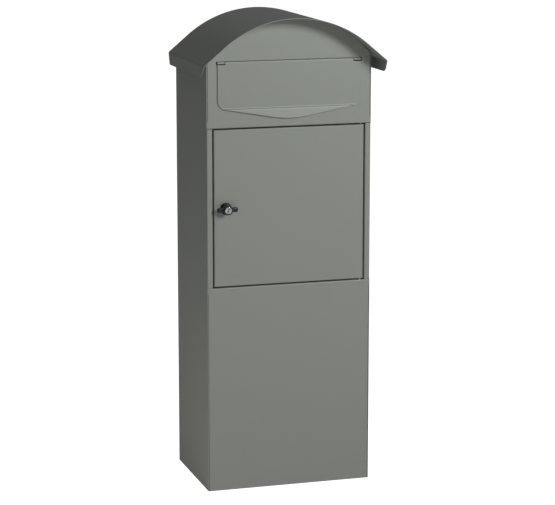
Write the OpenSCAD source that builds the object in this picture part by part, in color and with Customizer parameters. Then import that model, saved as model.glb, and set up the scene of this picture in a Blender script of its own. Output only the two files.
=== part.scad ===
// Free-standing letter and parcel pillar box with an arched canopy, a lift-up letter flap
// and a side-hinged door. Millimetres, +Z up, -Y is the front. The origin is the centre of
// the footprint, on the ground.

/* [Body] */
// Width of the body across the two side panels
body_w = 400; // [340:1:500]
// Depth of the body from front face to back face
body_d = 280; // [230:1:360]
// Height of the lower front panel, up to the door sill
pedestal_h = 492; // [380:1:620]
// Height of the fascia above the door, up to the crown of the canopy
fascia_h = 255; // [220:1:310]
// Thickness of the folded sheet steel
sheet_t = 1.5; // [1:0.1:2]
// Outside radius of the folds
fold_r = 2.5; // [2.2:0.1:4]
// Width of the front column on each side of the door
column_w = 14; // [12:1:30]
// Width of the folds that stiffen the panels behind their edges
flange_w = 16; // [12:1:24]

/* [Door] */
// Height of the door
door_h = 369.5; // [300:0.5:450]
// Gap all round the door
door_gap = 3; // [2:0.5:5]
// Depth of the door's folded edges
door_d = 15; // [12:1:20]
// Diameter of the two door pivot pins
pivot_d = 4; // [3:0.5:6]
// Distance of the pivot axis from the door's hinge edge
pivot_inset = 6.5; // [5:0.5:8]
// Distance of the pivot axis behind the front face
pivot_depth = 6; // [5:0.5:7]

/* [Letter flap] */
// Distance from each body side to the flap's edge
flap_margin = 26.3; // [24:0.1:50]
// Height of the flap's flat face, from the hinge axis down to the crease
flap_face_h = 105.6; // [80:0.1:125]
// Height of the crease above the fascia's lower edge
crease_rise = 46; // [40:1:60]
// Drop of the finger lip below the crease, at the middle
lip_drop = 26; // [18:1:32]
// Radius of the flap's lower corners
flap_corner_r = 20; // [10:1:24]
// Step of the finger lip in front of the flap's face
lip_step = 2.5; // [1.5:0.1:5]
// Diameter of the flap's hinge rod
rod_d = 3; // [2.5:0.5:5]
// Gap between the back of the flap and the fascia
flap_standoff = 1.2; // [0.8:0.1:2]

/* [Canopy] */
// Gap between the body side and the inside of the canopy's skirt
skirt_gap = 18.5; // [12:0.5:25]
// Rise from the top of the skirt to the crown
arch_rise = 102.2; // [80:0.1:125]
// Half angle of the arc, where it runs out into the straight eaves
arc_half = 39.5; // [38:0.5:42]
// Height of the vertical skirt at each side
skirt_h = 29; // [20:1:36]
// How far the foot of each skirt stands out beyond its fold
skirt_flare = 2.4; // [0:0.1:6]
// Overhang of the canopy in front of the body
front_overhang = 58; // [40:1:70]
// Distance of the canopy's rear edge in front of the back face
rear_setback = 6; // [0:1:15]
// Set-back of the skirt's lower front corner
front_taper = 20; // [10:1:34]
// Set-back of the skirt's lower rear corner
rear_taper = 20; // [10:1:34]

/* [Lock] */
// Distance from the door's free edge to the lock axis
lock_inset = 28; // [26:1:40]
// Diameter of the escutcheon
escutcheon_d = 28.4; // [27:0.1:40]
// Diameter of the threaded lock barrel
barrel_d = 20; // [18:1:24]
// Diameter of the knob's hub
hub_d = 22.6; // [21:0.1:28]
// Diameter of the key cylinder
plug_d = 17; // [12:0.1:18]
// Projection of the knob from the door's face
knob_out = 25; // [20:1:32]
// Span of the knob's two wings, tip to tip
wing_span = 51; // [44:1:60]
// Reach of the locking cam from the lock axis
cam_reach = 32; // [30:1:40]

/* [Fixings] */
// Diameter of the ground-anchor holes
anchor_d = 11; // [9:1:14]
// Distance between the anchor holes across the body
anchor_x = 330; // [240:1:350]
// Distance between the anchor holes front to back
anchor_y = 210; // [160:1:230]
// Diameter of the wall-fixing holes
wall_hole_d = 8.5; // [6:0.5:12]
// Distance between the wall-fixing holes across the body
wall_x = 260; // [160:1:300]
// Distance between the wall-fixing holes in height
wall_z = 240; // [160:1:280]

/* [Hidden] */
$fn = 64;

// Colours
coat = [0.45, 0.46, 0.43];
zinc = [0.68, 0.69, 0.70];
steel = [0.75, 0.75, 0.77];
black = [0.06, 0.06, 0.07];
rubber = [0.10, 0.10, 0.10];

// Clearances
run_clear = 0.05;   // radial, between a pin and the hole that turns on it
seat_gap = 0.3;     // between curved pieces that are bolted or welded together
fit_gap = 0.2;      // between nested flat pieces
base_gap = 0.4;     // round the base plate, so that its corners clear the folds
through = 1;        // how far a cutting shape runs past the sheet

// Planes of the body
half_w = body_w / 2;
half_d = body_d / 2;
front_y = -half_d;
side_in = half_w - sheet_t;
back_in = half_d - sheet_t;

// Door and the edges round it
sill_z = pedestal_h;
door_z0 = sill_z + door_gap;
door_z1 = door_z0 + door_h;
fascia_z0 = door_z1 + door_gap;
opening_half = half_w - column_w;
door_half = opening_half - door_gap;
door_mid_z = (door_z0 + door_z1) / 2;
shelf_d = door_d + 4;
fold_in_r = fold_r - sheet_t + 0.2;  // inside radius of the door's folds
stop_w = 12;                       // width of the stop behind the door's free edge
stop_y = front_y + door_d + 2;
pivot_x = door_half - pivot_inset;
pivot_y = front_y + pivot_depth;
pivot_r = pivot_d / 2;
pin_head_r = min(2 * pivot_r, pivot_depth - fold_r);
seam_gap = 0.4;                    // hairline between a column and the panel above or below

// Canopy: an arc that runs out into two straight eaves and two vertical skirts
crown_z = fascia_z0 + fascia_h;
skirt_x = half_w + skirt_gap + sheet_t;
eave_z = crown_z - arch_rise;
roof_r = (skirt_x * tan(arc_half) - arch_rise) / (1 / cos(arc_half) - 1);
roof_in_r = roof_r - sheet_t;
arc_z = crown_z - roof_r;
eave_r = 8;                        // outside radius of the fold between eave and skirt
skirt_z0 = eave_z - skirt_h;
skirt_lean = atan(skirt_flare / skirt_h);
front_corner_r = 30;
rear_corner_r = 12;
roof_y0 = front_y - front_overhang;
roof_y1 = half_d - rear_setback;
gable_r = roof_in_r - seat_gap;    // arched top of the fascia and of the back panel
side_top_gap = 7;
side_top_z = eave_z + (skirt_x - half_w) * tan(arc_half) - sheet_t / cos(arc_half) - side_top_gap;

// Bows that carry the canopy, and their studs
bow_half = arc_half - 4;
bow_web = 14;
bow_flange = 20;
stud_angle = 26;
stud_r = 2.5;
stud_len = 12;
stud_nut_af = 8;
stud_nut_h = 4;

// Letter flap and its hinge
rod_r = rod_d / 2;
barrel_r = rod_r + sheet_t;
axis_z = fascia_z0 + crease_rise + flap_face_h;
axis_y = front_y - flap_standoff - sheet_t + barrel_r;
crease_z = fascia_z0 + crease_rise;
flap_half = half_w - flap_margin;
flap_front_y = axis_y - barrel_r;
ear_len = 18;                      // length of the knuckle at each end of the rod
ear_gap = 1.2;
barrel_half = flap_half - ear_len;
notch_drop = 4.6;                  // how far the flap's corners are cut away below the axis
lip_tilt = 8;                      // lean of the finger lip, in degrees
step_drop = 2;                     // height over which the lip steps forward
lip_slope = 10;                    // slope of the lip's lower edge, in degrees
aperture_half = flap_half - 12;
aperture_z0 = crease_z + 12;
aperture_z1 = axis_z + barrel_r + 0.6;
aperture_corner_r = 10;
slot_half = flap_half + 2.6;
slot_z0 = axis_z - notch_drop;
leaf_h = 16;
bumper_r = 4;
bumper_z = crease_z + 45;

// Lock
lock_x = -door_half + lock_inset;
lock_z = door_mid_z;
escutcheon_t = 4;
barrel_len = 16.4;
hub_gap = 0.3;
hub_y = front_y - escutcheon_t - hub_gap;
knob_y = front_y - knob_out;
plug_len = 16;
plug_proud = 0.4;
keyway_w = 1.6;
keyway_h = 8;
keyway_d = 4;
spindle_r = 5;
cam_sq = 6.4;
cam_t = 2.5;
cam_w = 13;
cam_y = stop_y + sheet_t + 0.8;
screw_r = 2;
screw_len = 8;
screw_head_r = 5;
screw_head_h = 2.5;
nut_af = 27;
nut_h = 4;

// Floor and chute
floor_z = sill_z - 12;
rail_leg = 15;
floor_lip = 12;
chute_w = 2 * (side_in - flange_w - 2);
chute_z = aperture_z0 - 6;
chute_angle = 32;
chute_len = 80;
chute_leg = 14;

// Rivets down the two rear corners
rivet_r = 1.6;
rivet_head_r = 3.6;
rivet_head_h = 1.1;
rivet_grip = 2 * sheet_t;
rivet_tail = 2.2;
rivet_rows = 6;
rivet_margin = 50;
rivet_x = half_w - flange_w / 2;
rivet_pitch = (side_top_z - 2 * rivet_margin) / (rivet_rows - 1);

base_rim = 55;

// ---------- shared shapes ----------

// A folded angle in plan: one leg along +X, one along +Y, meeting at the origin.
module fold_2d(leg_x, leg_y, t = sheet_t, r = fold_r) {
    translate([r, 0]) square([leg_x - r, t]);
    translate([0, r]) square([t, leg_y - r]);
    translate([r, r]) ring_2d(r, r - t, 180, 270);
}

// Part of a flat ring between two angles less than 180 degrees apart.
module ring_2d(r_out, r_in, from, to) {
    reach = 2 * r_out;
    mid = (from + to) / 2;
    intersection() {
        difference() {
            circle(r = r_out);
            circle(r = r_in);
        }
        polygon([
            [0, 0],
            reach * [cos(from), sin(from)],
            reach * [cos(mid), sin(mid)] / cos((to - from) / 2),
            reach * [cos(to), sin(to)]
        ]);
    }
}

function unit(v) = v / norm(v);
// Half of the angle at corner b between its neighbours a and c.
function half_corner(a, b, c) = acos(unit(a - b) * unit(c - b)) / 2;
// The two points where a corner's round begins and ends.
function tangents(a, b, c, r) =
    let (reach = r / tan(half_corner(a, b, c)))
    r == 0 ? [b] : [b + unit(a - b) * reach, b + unit(c - b) * reach];
function round_centre(a, b, c, r) =
    b + unit(unit(a - b) + unit(c - b)) * r / sin(half_corner(a, b, c));

// A convex outline whose corners are true arcs. Each radius belongs to the point beside it.
module rounded_2d(points, radii) {
    n = len(points);
    polygon([
        for (i = [0:n - 1])
            for (p = tangents(points[(i + n - 1) % n], points[i], points[(i + 1) % n], radii[i])) p
    ]);
    for (i = [0:n - 1]) {
        if (radii[i] > 0) {
            corner_cap(points[(i + n - 1) % n], points[i], points[(i + 1) % n], radii[i]);
        }
    }
}

// The rounded tip of corner b, with a little of the outline behind it.
module corner_cap(a, b, c, r) {
    ends = tangents(a, b, c, r);
    centre = round_centre(a, b, c, r);
    root = (ends[0] + ends[1]) / 2;
    intersection() {
        translate(centre) circle(r = r);
        polygon([ends[0], b, ends[1], root + unit(centre - b) * r / 5]);
    }
}

// Drawn in X and Z, and extruded from y0 towards +Y.
module plate_xz(y0, t = sheet_t) {
    translate([0, y0 + t, 0]) rotate([90, 0, 0]) linear_extrude(t) children();
}

// Drawn in Y and Z, and extruded along X between two places.
module plate_yz(x0, x1) {
    translate([x0, 0, 0]) rotate([90, 0, 90]) linear_extrude(x1 - x0) children();
}

// A round bar along Y.
module bar_y(r, y0, y1) {
    translate([0, y0, 0]) rotate([-90, 0, 0]) cylinder(r = r, h = y1 - y0);
}

// A round bar along X.
module bar_x(r, x0, x1) {
    translate([x0, 0, 0]) rotate([0, 90, 0]) cylinder(r = r, h = x1 - x0);
}

module both_sides() {
    children();
    mirror([1, 0, 0]) children();
}

// ---------- body ----------

// Wall, front column and rear flange of one side, for the right-hand side.
module side_panel(with_stop) {
    // the wall, with its rear flange folded in behind the back panel
    translate([half_w, back_in, 0]) rotate([0, 0, 180])
        linear_extrude(side_top_z) fold_2d(flange_w, body_d - sheet_t);
    // the column beside the door
    translate([0, 0, sill_z + seam_gap]) linear_extrude(fascia_z0 - sill_z - 2 * seam_gap) {
        translate([half_w, front_y]) mirror([1, 0]) fold_2d(column_w - fold_r, column_w);
        translate([opening_half, front_y]) fold_2d(column_w - fold_r, stop_y - front_y);
        if (with_stop) {
            translate([opening_half + sheet_t, stop_y + sheet_t]) rotate([0, 0, 180])
                fold_2d(stop_w, sheet_t + fold_r);
        }
    }
}

// The side panel with room for its folds at the front edge, and the rivet holes.
module side_panel_cut(with_stop) {
    difference() {
        side_panel(with_stop);
        // the square front edge gives way to the column's fold
        translate([side_in - through, front_y - through, sill_z + seam_gap])
            cube([sheet_t + 2 * through, fold_r + through, fascia_z0 - sill_z - 2 * seam_gap]);
        rivet_places() bar_y(rivet_r + fit_gap / 4, back_in - sheet_t - through, half_d + through);
    }
    translate([half_w, front_y, sill_z + seam_gap]) mirror([1, 0, 0])
        linear_extrude(fascia_z0 - sill_z - 2 * seam_gap) fold_2d(column_w - fold_r, column_w);
}

module left_side_panel() {
    color(coat) mirror([1, 0, 0]) side_panel_cut(true);
}

module right_side_panel() {
    color(coat) side_panel_cut(false);
}

// Arched front or back outline, from z0 up to the canopy.
module gable_2d(z0, half) {
    intersection() {
        translate([-half, z0]) square([2 * half, crown_z - z0]);
        union() {
            translate([0, arc_z]) circle(r = gable_r, $fn = 128);
            translate([-half, z0]) square([2 * half, arc_z - z0]);
        }
    }
}

module rivet_places() {
    both_sides() {
        for (i = [0:rivet_rows - 1]) {
            translate([rivet_x, 0, rivet_margin + i * rivet_pitch]) children();
        }
    }
}

module wall_hole_places() {
    for (x = [-wall_x / 2, wall_x / 2]) {
        for (z = [-wall_z / 2, wall_z / 2]) {
            translate([x, 0, door_mid_z + z]) children();
        }
    }
}

module back_panel() {
    color(coat) difference() {
        plate_xz(back_in) gable_2d(0, half_w);
        rivet_places() bar_y(rivet_r + fit_gap / 4, back_in - through, half_d + through);
        wall_hole_places() bar_y(wall_hole_d / 2, back_in - through, half_d + through);
    }
}

// Blind rivets: domed head behind the back panel, tail inside.
module back_panel_rivets() {
    dome_r = (rivet_head_r * rivet_head_r + rivet_head_h * rivet_head_h) / (2 * rivet_head_h);
    color(zinc) rivet_places() {
        bar_y(rivet_r, half_d - rivet_grip - rivet_tail, half_d + rivet_head_h / 2);
        intersection() {
            translate([0, half_d + rivet_head_h - dome_r, 0]) sphere(r = dome_r);
            bar_y(rivet_head_r, half_d, half_d + rivet_head_h);
        }
        bar_y(rivet_r * 1.4, half_d - rivet_grip - rivet_tail, half_d - rivet_grip);
    }
}

// Rimmed plate at the foot, open in the middle, with the four anchor holes.
module base_plate() {
    w = 2 * (side_in - base_gap);
    y0 = front_y + sheet_t + base_gap;
    d = back_in - sheet_t - base_gap - y0;
    color(coat) difference() {
        translate([-w / 2, y0, 0]) cube([w, d, flange_w]);
        translate([-w / 2 + sheet_t, y0 + sheet_t, sheet_t])
            cube([w - 2 * sheet_t, d - 2 * sheet_t, flange_w]);
        translate([-w / 2 + base_rim, y0 + base_rim, -through])
            cube([w - 2 * base_rim, d - 2 * base_rim, sheet_t + 2 * through]);
        // the corners clear the side flanges of the front panel and of the sides
        both_sides() {
            translate([w / 2 - flange_w - fit_gap, y0 - through, sheet_t])
                cube([flange_w + 2 * through, flange_w + fit_gap + through, flange_w]);
            translate([w / 2 - sheet_t - through, y0 - through, -through])
                cube([sheet_t + 2 * through, flange_w + fit_gap + through, flange_w + 2 * through]);
        }
        for (x = [-anchor_x / 2, anchor_x / 2]) {
            for (y = [-anchor_y / 2, anchor_y / 2]) {
                translate([x, y, -through]) cylinder(d = anchor_d, h = sheet_t + 2 * through);
            }
        }
    }
}

// Side flange of a front panel, nested inside the side wall.
module front_flange(z0, z1) {
    both_sides() {
        translate([side_in - fit_gap, front_y, z0]) mirror([1, 0, 0])
            linear_extrude(z1 - z0) fold_2d(flange_w, flange_w);
    }
}

module lower_front_panel() {
    flat_half = side_in - fit_gap - flange_w + through;
    color(coat) difference() {
        union() {
            // face and sill shelf in one fold
            plate_yz(-flat_half, flat_half)
                translate([front_y, sill_z]) mirror([0, 1]) fold_2d(shelf_d, sill_z);
            plate_yz(-side_in + fit_gap, side_in - fit_gap)
                translate([front_y, sill_z]) mirror([0, 1]) fold_2d(fold_r + through, flange_w);
            front_flange(0, sill_z - fold_r - through);
            plate_xz(front_y) translate([-flat_half, 0]) square([2 * flat_half, sill_z - fold_r]);
        }
        translate([pivot_x, pivot_y, sill_z - 2 * sheet_t])
            cylinder(r = pivot_r + run_clear, h = 3 * sheet_t);
    }
}

// The opening that the flap covers, with a short slot at each upper corner for the hinge.
module aperture_2d() {
    rounded_2d(
        [
            [-aperture_half, aperture_z0], [aperture_half, aperture_z0],
            [aperture_half, aperture_z1], [-aperture_half, aperture_z1]
        ],
        [aperture_corner_r, aperture_corner_r, 0, 0]
    );
    translate([-slot_half, slot_z0]) square([2 * slot_half, aperture_z1 - slot_z0]);
}

module upper_fascia() {
    flat_half = side_in - fit_gap;
    flange_half = flat_half - flange_w + through;
    color(coat) difference() {
        union() {
            plate_xz(front_y) difference() {
                gable_2d(fascia_z0 + fold_r, flange_half);
                aperture_2d();
            }
            // outer strips beside the flange folds, under the arch
            intersection() {
                front_flange(fascia_z0 + fold_r + through, side_top_z + flange_w);
                plate_xz(front_y, flange_w) gable_2d(fascia_z0, half_w);
            }
            plate_yz(-flange_half, flange_half)
                translate([front_y, fascia_z0]) fold_2d(shelf_d, flange_w);
            plate_yz(-flat_half, flat_half)
                translate([front_y, fascia_z0]) fold_2d(fold_r + through, flange_w);
        }
        plate_xz(front_y - through, sheet_t + 2 * through) aperture_2d();
        translate([pivot_x, pivot_y, fascia_z0 - sheet_t])
            cylinder(r = pivot_r + run_clear, h = 3 * sheet_t);
    }
}

// Angle rail on each side wall that carries the floor.
module floor_rail() {
    y0 = front_y + shelf_d + 3;
    y1 = back_in - sheet_t - 3;
    translate([side_in, y1, floor_z]) rotate([90, 0, 0]) linear_extrude(y1 - y0)
        mirror([1, 0]) mirror([0, 1]) fold_2d(rail_leg, rail_leg);
}

module left_floor_rail() {
    color(zinc) mirror([1, 0, 0]) floor_rail();
}

module right_floor_rail() {
    color(zinc) floor_rail();
}

// Loose floor of the compartment, with a low upstand at the sides and back.
module compartment_floor() {
    w = 2 * (side_in - 1);
    y0 = front_y + shelf_d + 1;
    d = back_in - sheet_t - 1 - y0;
    color(coat) difference() {
        translate([-w / 2, y0, floor_z]) cube([w, d, floor_lip]);
        translate([-w / 2 + sheet_t, y0 - through, floor_z + sheet_t])
            cube([w - 2 * sheet_t, d - sheet_t + through, floor_lip]);
    }
}

// Folded plate behind the aperture that steers post down and keeps hands out.
module letter_chute() {
    color(zinc) plate_yz(-chute_w / 2, chute_w / 2) translate([front_y + sheet_t, chute_z]) {
        translate([0, -chute_leg]) square([sheet_t, chute_leg]);
        rotate(-chute_angle) square([chute_len, sheet_t]);
    }
}

// ---------- canopy ----------

// Outline of the canopy's section, drawn in from its outside by an inset.
module canopy_outline_2d(inset) {
    drop = inset * (1 / cos(arc_half) - tan(arc_half) / cos(skirt_lean))
        / (1 - tan(skirt_lean) * tan(arc_half));
    x = skirt_x - inset / cos(skirt_lean) + drop * tan(skirt_lean);
    eave = eave_z - drop;
    apex = eave + x * tan(arc_half);
    z0 = skirt_z0 - inset;
    foot_x = x + (eave - z0) * tan(skirt_lean);
    rounded_2d(
        [[-foot_x, z0], [foot_x, z0], [x, eave], [0, apex], [-x, eave]],
        [0, 0, eave_r - inset, roof_r - inset, eave_r - inset], $fn = 128
    );
}

module canopy_2d() {
    difference() {
        canopy_outline_2d(0);
        canopy_outline_2d(sheet_t);
    }
}

// Side view of the canopy: square at the top, skirts tapered at both ends.
module canopy_side_2d() {
    rounded_2d(
        [
            [roof_y0, crown_z + through], [roof_y0, eave_z],
            [roof_y0 + front_taper, skirt_z0], [roof_y1 - rear_taper, skirt_z0],
            [roof_y1, eave_z], [roof_y1, crown_z + through]
        ],
        [0, 0, front_corner_r, rear_corner_r, 0, 0]
    );
}

module roof_canopy() {
    color(coat) intersection() {
        plate_xz(roof_y0, roof_y1 - roof_y0) canopy_2d();
        plate_yz(-skirt_x - skirt_flare - through, skirt_x + skirt_flare + through) canopy_side_2d();
    }
}

module stud_places() {
    for (a = [-stud_angle, 0, stud_angle]) {
        translate([0, 0, arc_z]) rotate([0, a, 0]) children();
    }
}

// Curved angle: its flange carries the canopy, its web is welded to the gable behind it.
module roof_bow() {
    difference() {
        union() {
            plate_xz(0, bow_flange) translate([0, arc_z])
                ring_2d(gable_r, gable_r - sheet_t, 90 - bow_half, 90 + bow_half, $fn = 128);
            plate_xz(0, sheet_t) translate([0, arc_z])
                ring_2d(gable_r, gable_r - bow_web, 90 - bow_half, 90 + bow_half, $fn = 128);
        }
        stud_places() translate([0, bow_flange * 0.6, gable_r - 3 * sheet_t])
            cylinder(r = stud_r + run_clear, h = 5 * sheet_t);
    }
}

module front_roof_bow() {
    color(zinc) translate([0, front_y + sheet_t, 0]) roof_bow();
}

module rear_roof_bow() {
    color(zinc) translate([0, back_in, 0]) mirror([0, 1, 0]) roof_bow();
}

// Repeats a stud's children at the front bow and at the rear bow.
module both_bows() {
    translate([0, front_y + sheet_t + bow_flange * 0.6, 0]) children();
    translate([0, back_in - bow_flange * 0.6, 0]) children();
}

// Studs welded under the canopy.
module roof_studs() {
    color(zinc) both_bows() stud_places()
        translate([0, 0, gable_r - stud_len]) cylinder(r = stud_r, h = stud_len + seat_gap / 2);
}

module roof_nuts() {
    color(zinc) both_bows() stud_places() translate([0, 0, gable_r - sheet_t - fit_gap - stud_nut_h])
        difference() {
            cylinder(d = stud_nut_af / cos(30), h = stud_nut_h, $fn = 6);
            translate([0, 0, -through]) cylinder(r = stud_r + run_clear, h = stud_nut_h + 2 * through);
        }
}

// ---------- letter flap ----------

// Front outline of the flap: notched upper corners, round lower corners, smiling lip.
module flap_outline_2d() {
    lip_tip_z = crease_z - lip_drop;
    lip_end_z = lip_tip_z + flap_half * tan(lip_slope);
    tip_r = 150;
    tip_lift = tip_r * (1 / cos(lip_slope) - 1);
    rounded_2d(
        [
            [-flap_half, axis_z - notch_drop], [-flap_half, lip_end_z - tip_lift],
            [0, lip_tip_z - tip_lift], [flap_half, lip_end_z - tip_lift],
            [flap_half, axis_z - notch_drop]
        ],
        [0, flap_corner_r, tip_r, flap_corner_r, 0], $fn = 128
    );
    translate([-barrel_half, axis_z - notch_drop - through])
        square([2 * barrel_half, notch_drop + through]);
}

// Side section of the flap below its hinge barrel: face, step and leaning lip.
module flap_section_2d() {
    low_z = crease_z - lip_drop - through;
    lean = (crease_z - step_drop - low_z) * tan(lip_tilt);
    step_y = flap_front_y - lip_step;
    polygon([
        [flap_front_y, axis_z], [flap_front_y, crease_z],
        [step_y, crease_z - step_drop], [step_y - lean, low_z],
        [step_y - lean + sheet_t, low_z], [step_y + sheet_t, crease_z - step_drop - sheet_t / 2],
        [flap_front_y + sheet_t, crease_z - sheet_t / 2], [flap_front_y + sheet_t, axis_z]
    ]);
}

module letter_flap() {
    color(coat) difference() {
        union() {
            intersection() {
                plate_yz(-flap_half, flap_half) flap_section_2d();
                plate_xz(flap_front_y - 4 * lip_step, 8 * lip_step) flap_outline_2d();
            }
            translate([0, axis_y, axis_z]) bar_x(barrel_r, -barrel_half, barrel_half);
        }
        translate([0, axis_y, axis_z])
            bar_x(rod_r + run_clear, -barrel_half - through, barrel_half + through);
    }
}

module flap_hinge_rod() {
    color(coat) translate([0, axis_y, axis_z]) bar_x(rod_r, -flap_half - 1, flap_half + 1);
}

// Curled strap that holds one end of the rod, welded behind the fascia.
module flap_knuckle() {
    x0 = barrel_half + ear_gap;
    color(coat) difference() {
        union() {
            translate([0, axis_y, axis_z]) bar_x(barrel_r, x0, flap_half);
            translate([x0, front_y + sheet_t, axis_z + rod_r / 2])
                cube([flap_half - x0, sheet_t, leaf_h]);
            translate([x0, axis_y, axis_z + rod_r])
                cube([flap_half - x0, front_y + 2 * sheet_t - axis_y, sheet_t]);
        }
        translate([0, axis_y, axis_z]) bar_x(rod_r + run_clear, x0 - through, flap_half + through);
    }
}

module right_flap_knuckle() {
    flap_knuckle();
}

module left_flap_knuckle() {
    mirror([1, 0, 0]) flap_knuckle();
}

// Rubber dots on the fascia that the flap rests on.
module flap_bumpers() {
    color(rubber) both_sides() translate([(flap_half + aperture_half) / 2, 0, bumper_z])
        bar_y(bumper_r, front_y - flap_standoff + fit_gap, front_y);
}

// ---------- door ----------

// A shallow tray, open to the back, with the four front edges folded round.
module tray(w, h, d, t, r) {
    difference() {
        tray_solid(w, h, d, r);
        translate([0, t, 0]) tray_solid(w - 2 * t, h - 2 * t, d, fold_in_r);
    }
}

module tray_solid(w, h, d, r) {
    intersection() {
        translate([0, 0, -h / 2]) linear_extrude(h)
            rounded_2d([[-w / 2, 0], [w / 2, 0], [w / 2, d], [-w / 2, d]], [r, r, 0, 0]);
        plate_yz(-w / 2, w / 2)
            rounded_2d([[0, h / 2], [0, -h / 2], [d, -h / 2], [d, h / 2]], [r, r, 0, 0]);
    }
}

module door() {
    color(coat) difference() {
        translate([0, front_y, door_mid_z]) tray(2 * door_half, door_h, door_d, sheet_t, fold_r);
        translate([lock_x, 0, lock_z])
            bar_y(barrel_d / 2 + run_clear, front_y - through, front_y + sheet_t + through);
        translate([pivot_x, pivot_y, door_z0 - through])
            cylinder(r = pivot_r + run_clear, h = door_h + 2 * through);
    }
}

// Pin riveted through the fascia's shelf, reaching down into the door.
module upper_pivot_pin() {
    color(zinc) translate([pivot_x, pivot_y, 0]) {
        translate([0, 0, door_z1 - 3 * sheet_t])
            cylinder(r = pivot_r, h = fascia_z0 + sheet_t - door_z1 + 3 * sheet_t);
        translate([0, 0, fascia_z0 + sheet_t]) cylinder(r = pin_head_r, h = sheet_t);
    }
}

// Pin through the sill shelf, with a shoulder that the door stands on.
module lower_pivot_pin() {
    shoulder_r = pivot_r + 0.7;
    color(zinc) translate([pivot_x, pivot_y, 0]) {
        translate([0, 0, sill_z - sheet_t]) cylinder(r = pivot_r, h = door_gap + 5 * sheet_t);
        translate([0, 0, sill_z]) cylinder(r = shoulder_r, h = door_gap - run_clear);
        translate([0, 0, sill_z - 2 * sheet_t]) cylinder(r = pin_head_r, h = sheet_t);
    }
}

// Rubber dots on the stop behind the door's free edge.
module door_bumpers() {
    color(rubber) for (z = [-door_h / 3, door_h / 3]) {
        translate([-door_half + 4.5, 0, door_mid_z + z])
            bar_y(bumper_r, front_y + door_d + fit_gap, stop_y);
    }
}

// ---------- lock ----------

module at_lock() {
    translate([lock_x, 0, lock_z]) children();
}

// Escutcheon and barrel, clamped through the door.
module lock_housing() {
    color(black) at_lock() difference() {
        union() {
            bar_y(escutcheon_d / 2, front_y - escutcheon_t + 1, front_y);
            bar_y(escutcheon_d / 2 - 1.5, front_y - escutcheon_t, front_y);
            bar_y(barrel_d / 2, front_y, front_y + barrel_len);
        }
        bar_y(spindle_r + run_clear, front_y - escutcheon_t - through, front_y + barrel_len + through);
    }
}

module lock_nut() {
    color(zinc) at_lock() difference() {
        translate([0, front_y + sheet_t, 0]) rotate([-90, 0, 0])
            cylinder(d = nut_af / cos(30), h = nut_h, $fn = 6);
        bar_y(barrel_d / 2 + run_clear, front_y, front_y + sheet_t + nut_h + through);
    }
}

// Hub with two wings, and the spindle that turns the cam.
module wing_knob() {
    wing_y0 = knob_y + 3;
    wing_y1 = knob_y + 14;
    wing_h = 10;
    wing_r = 2.5;
    color(black) at_lock() difference() {
        union() {
            bar_y(hub_d / 2, knob_y, hub_y);
            translate([0, wing_y1, 0]) rotate([90, 0, 0]) linear_extrude(wing_y1 - wing_y0)
                rounded_2d(
                    [
                        [-wing_span / 2, -wing_h / 2], [wing_span / 2, -wing_h / 2],
                        [wing_span / 2, wing_h / 2], [-wing_span / 2, wing_h / 2]
                    ],
                    [wing_r, wing_r, wing_r, wing_r]
                );
            bar_y(spindle_r, hub_y, front_y + barrel_len + 0.5);
            translate([-cam_sq / 2, hub_y, -cam_sq / 2])
                cube([cam_sq, cam_y + cam_t - hub_y, cam_sq]);
        }
        bar_y(plug_d / 2 + run_clear, knob_y - through, knob_y + plug_len);
        bar_y(screw_r + run_clear, cam_y + cam_t - screw_len, cam_y + cam_t + through);
    }
}

// Key cylinder with a plain keyway.
module key_cylinder() {
    color(steel) at_lock() difference() {
        bar_y(plug_d / 2, knob_y - plug_proud, knob_y + plug_len - fit_gap);
        translate([-keyway_w / 2, knob_y - plug_proud - through, -keyway_h / 2])
            cube([keyway_w, keyway_d + through, keyway_h]);
    }
}

// Tongue that turns behind the door stop. It hangs down while the door is unlocked.
module lock_cam() {
    color(zinc) at_lock() difference() {
        translate([0, cam_y + cam_t, 0]) rotate([90, 0, 0]) linear_extrude(cam_t)
            rounded_2d(
                [
                    [-cam_w / 2, -cam_reach], [cam_w / 2, -cam_reach],
                    [cam_w / 2, cam_w / 2], [-cam_w / 2, cam_w / 2]
                ],
                [3, 3, 4, 4]
            );
        translate([-cam_sq / 2 - run_clear, cam_y - through, -cam_sq / 2 - run_clear])
            cube([cam_sq + 2 * run_clear, cam_t + 2 * through, cam_sq + 2 * run_clear]);
    }
}

module cam_screw() {
    head_y = cam_y + cam_t;
    color(steel) at_lock() difference() {
        union() {
            bar_y(screw_r, head_y + fit_gap - screw_len, head_y + screw_head_h);
            bar_y(screw_head_r, head_y, head_y + screw_head_h);
        }
        translate([0, head_y + 1, 0]) rotate([-90, 0, 0]) cylinder(d = 4, h = screw_head_h, $fn = 6);
    }
}

left_side_panel();
right_side_panel();
back_panel();
back_panel_rivets();
base_plate();
lower_front_panel();
upper_fascia();
left_floor_rail();
right_floor_rail();
compartment_floor();
letter_chute();
roof_canopy();
front_roof_bow();
rear_roof_bow();
roof_studs();
roof_nuts();
letter_flap();
flap_hinge_rod();
left_flap_knuckle();
right_flap_knuckle();
flap_bumpers();
door();
upper_pivot_pin();
lower_pivot_pin();
door_bumpers();
lock_housing();
lock_nut();
wing_knob();
key_cylinder();
lock_cam();
cam_screw();
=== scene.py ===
"""Visual model of a free-standing letter and parcel box in grey powder-coated sheet steel.

Everything is in metres, in the part's own frame: +X right, -Y front, +Z up.
"""

import logging
import math
from dataclasses import dataclass, field
from enum import Enum
from typing import Callable, Iterable, Sequence

import bmesh
import bpy
from mathutils import Matrix, Vector


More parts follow.
